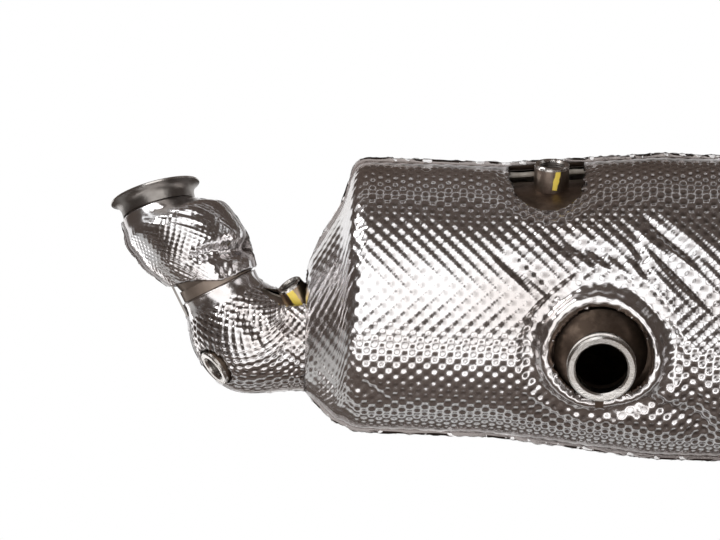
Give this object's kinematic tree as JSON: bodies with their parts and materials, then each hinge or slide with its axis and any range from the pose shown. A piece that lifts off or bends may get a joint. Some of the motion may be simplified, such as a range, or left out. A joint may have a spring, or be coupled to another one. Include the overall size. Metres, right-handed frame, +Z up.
{
  "type": "catalytic converter",
  "caption": "Close-coupled exhaust after-treatment unit: V-band inlet, elbow, offset cone, foil-shielded can with take-off port and threaded sensor bosses.",
  "frame": {"origin": "centre of the inlet flange's sealing face", "axes": "+X along the can towards the outlet, +Z up as fitted, and the take-off port looks towards -Y"},
  "size_m": [0.5702, 0.2342, 0.2256],
  "materials": {
    "foil": "embossed, bright, creased",
    "fibre": "pressed mineral fibre",
    "bare_steel": "heat-tinted stainless sheet",
    "brown_steel": "brown heat scale",
    "machined_steel": "turned, bright",
    "boss_steel": "turned, browned by heat",
    "ceramic": "porous honeycomb",
    "mat": "intumescent mat"
  },
  "bodies": {
    "root": {"can_insulation_front": "fibre", "can_insulation_rear": "fibre", "can_sensor_boss": "boss_steel", "can_shell": "brown_steel", "can_shield_front": "foil", "can_shield_rear": "foil", "cone_sensor_boss": "boss_steel", "elbow_insulation": "fibre", "elbow_pipe": "bare_steel", "elbow_sensor_boss": "boss_steel", "elbow_shield_front": "foil", "elbow_shield_rear": "foil", "filter_brick": "ceramic", "filter_mat": "mat", "inlet_cone": "brown_steel", "inlet_flange": "machined_steel", "inlet_insulation_front": "fibre", "inlet_insulation_rear": "fibre", "inlet_pipe": "bare_steel", "inlet_shield_front": "foil", "inlet_shield_rear": "foil", "outlet_cone": "bare_steel", "outlet_flange": "machined_steel", "outlet_pipe": "bare_steel", "oxidation_brick": "ceramic", "oxidation_mat": "mat", "port_flange": "machined_steel", "port_neck": "brown_steel", "port_nib": "brown_steel", "shield_strap": "bare_steel"}
  },
  "joints": []
}
